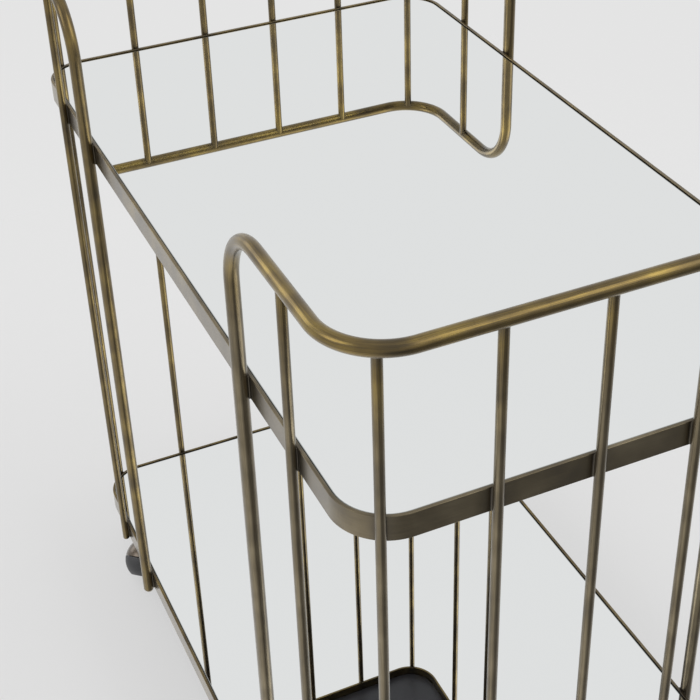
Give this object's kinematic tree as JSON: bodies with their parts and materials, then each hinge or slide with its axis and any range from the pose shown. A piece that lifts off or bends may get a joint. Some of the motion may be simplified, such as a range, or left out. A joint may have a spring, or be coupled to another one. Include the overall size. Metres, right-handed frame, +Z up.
{
  "type": "bar cart",
  "caption": "Bar cart with two inset mirror shelves in flat-bar frames, bent tube ends, upright rod galleries and swivelling ball casters.",
  "frame": {"origin": "on the floor, under the middle of the cart", "axes": "+X across the cart, +Y along its length, +Z up"},
  "size_m": [0.484, 0.844, 0.808],
  "materials": {
    "aged_brass": "antique brushed brass with a dark patina, lacquered",
    "mirror_glass": "silvered float glass, polished",
    "black_board": "hardboard, sealed black, satin",
    "zinc_steel": "zinc-plated steel",
    "bronze_lacquer": "pressed steel in dark bronze lacquer, satin",
    "dark_wheel": "moulded dark grey nylon, matt"
  },
  "bodies": {
    "cart": {"front_end_tube": "aged_brass", "front_side_rod_left": "aged_brass", "front_corner_rod_left": "aged_brass", "front_end_rod_1": "aged_brass", "front_end_rod_2": "aged_brass", "front_end_rod_3": "aged_brass", "front_end_rod_4": "aged_brass", "front_corner_rod_right": "aged_brass", "front_side_rod_right": "aged_brass", "back_end_tube": "aged_brass", "back_side_rod_left": "aged_brass", "back_corner_rod_left": "aged_brass", "back_end_rod_1": "aged_brass", "back_end_rod_2": "aged_brass", "back_end_rod_3": "aged_brass", "back_end_rod_4": "aged_brass", "back_corner_rod_right": "aged_brass", "back_side_rod_right": "aged_brass", "post_end_caps": "aged_brass", "upper_shelf_frame": "aged_brass", "upper_shelf_tabs": "aged_brass", "upper_board": "black_board", "upper_mirror": "mirror_glass", "lower_shelf_frame": "aged_brass", "lower_shelf_tabs": "aged_brass", "lower_board": "black_board", "lower_mirror": "mirror_glass", "caster_plate_front_left": "bronze_lacquer", "caster_stem_front_left": "zinc_steel", "caster_plate_front_right": "bronze_lacquer", "caster_stem_front_right": "zinc_steel", "caster_plate_back_left": "bronze_lacquer", "caster_stem_back_left": "zinc_steel", "caster_plate_back_right": "bronze_lacquer", "caster_stem_back_right": "zinc_steel"},
    "swivel_front_left": {"caster_hood_front_left": "bronze_lacquer", "caster_axle_front_left": "zinc_steel"},
    "wheel_front_left": {"caster_wheel_front_left": "dark_wheel"},
    "swivel_front_right": {"caster_hood_front_right": "bronze_lacquer", "caster_axle_front_right": "zinc_steel"},
    "wheel_front_right": {"caster_wheel_front_right": "dark_wheel"},
    "swivel_back_left": {"caster_hood_back_left": "bronze_lacquer", "caster_axle_back_left": "zinc_steel"},
    "wheel_back_left": {"caster_wheel_back_left": "dark_wheel"},
    "swivel_back_right": {"caster_hood_back_right": "bronze_lacquer", "caster_axle_back_right": "zinc_steel"},
    "wheel_back_right": {"caster_wheel_back_right": "dark_wheel"}
  },
  "joints": [
    {"name": "caster_swivel_front_left", "type": "hinge", "parent": "cart", "child": "swivel_front_left", "pos_m": [-0.195, -0.292, 0.056], "axis": [0, 0, 1], "continuous": true},
    {"name": "wheel_spin_front_left", "type": "hinge", "parent": "swivel_front_left", "child": "wheel_front_left", "pos_m": [-0.21457, -0.28732, 0.027], "axis": [-0.4545, -0.5417, -0.7071], "continuous": true},
    {"name": "caster_swivel_front_right", "type": "hinge", "parent": "cart", "child": "swivel_front_right", "pos_m": [0.195, -0.292, 0.056], "axis": [0, 0, 1], "continuous": true},
    {"name": "wheel_spin_front_right", "type": "hinge", "parent": "swivel_front_right", "child": "wheel_front_right", "pos_m": [0.17543, -0.28732, 0.027], "axis": [-0.4545, -0.5417, -0.7071], "continuous": true},
    {"name": "caster_swivel_back_left", "type": "hinge", "parent": "cart", "child": "swivel_back_left", "pos_m": [-0.195, 0.292, 0.056], "axis": [0, 0, 1], "continuous": true},
    {"name": "wheel_spin_back_left", "type": "hinge", "parent": "swivel_back_left", "child": "wheel_back_left", "pos_m": [-0.21457, 0.29668, 0.027], "axis": [-0.4545, -0.5417, -0.7071], "continuous": true},
    {"name": "caster_swivel_back_right", "type": "hinge", "parent": "cart", "child": "swivel_back_right", "pos_m": [0.195, 0.292, 0.056], "axis": [0, 0, 1], "continuous": true},
    {"name": "wheel_spin_back_right", "type": "hinge", "parent": "swivel_back_right", "child": "wheel_back_right", "pos_m": [0.17543, 0.29668, 0.027], "axis": [-0.4545, -0.5417, -0.7071], "continuous": true}
  ]
}
